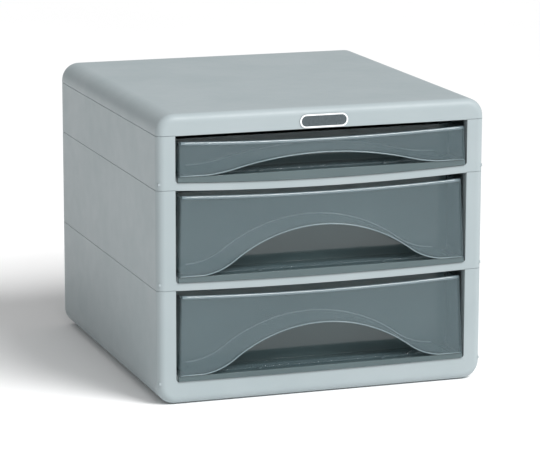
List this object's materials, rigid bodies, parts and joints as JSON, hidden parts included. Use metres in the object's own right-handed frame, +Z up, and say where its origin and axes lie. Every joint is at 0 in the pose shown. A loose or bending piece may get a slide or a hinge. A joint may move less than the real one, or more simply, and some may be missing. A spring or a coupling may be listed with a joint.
{
  "type": "desktop file drawer",
  "caption": "Rounded grey desktop casing with smoked sliding drawers, each with an arched finger recess in a leaning hollow front; for papers on a desk.",
  "frame": {"origin": "on the desk, midway along the width and along the depth over the drawer fronts", "axes": "+X to the right as seen from the front, +Y towards the back, +Z up"},
  "size_m": [0.328, 0.3462, 0.277],
  "materials": {
    "casing_grey": "satin moulded plastic, cool light grey",
    "smoked_plastic": "glossy smoked translucent plastic",
    "badge": "dark gloss field in a white rim"
  },
  "bodies": {
    "casing": {"lower_frame": "casing_grey", "middle_frame": "casing_grey", "upper_frame": "casing_grey", "top_cover": "casing_grey", "badge_plate": "badge"},
    "lower_drawer": {"lower_drawer_tray": "smoked_plastic", "lower_drawer_front": "smoked_plastic"},
    "middle_drawer": {"middle_drawer_tray": "smoked_plastic", "middle_drawer_front": "smoked_plastic"},
    "upper_drawer": {"upper_drawer_tray": "smoked_plastic", "upper_drawer_front": "smoked_plastic"}
  },
  "joints": [
    {"name": "lower_drawer_slide", "type": "slide", "parent": "casing", "child": "lower_drawer", "axis": [0, -1, 0], "range_m": [0, 0.225]},
    {"name": "middle_drawer_slide", "type": "slide", "parent": "casing", "child": "middle_drawer", "axis": [0, -1, 0], "range_m": [0, 0.225]},
    {"name": "upper_drawer_slide", "type": "slide", "parent": "casing", "child": "upper_drawer", "axis": [0, -1, 0], "range_m": [0, 0.225]}
  ]
}
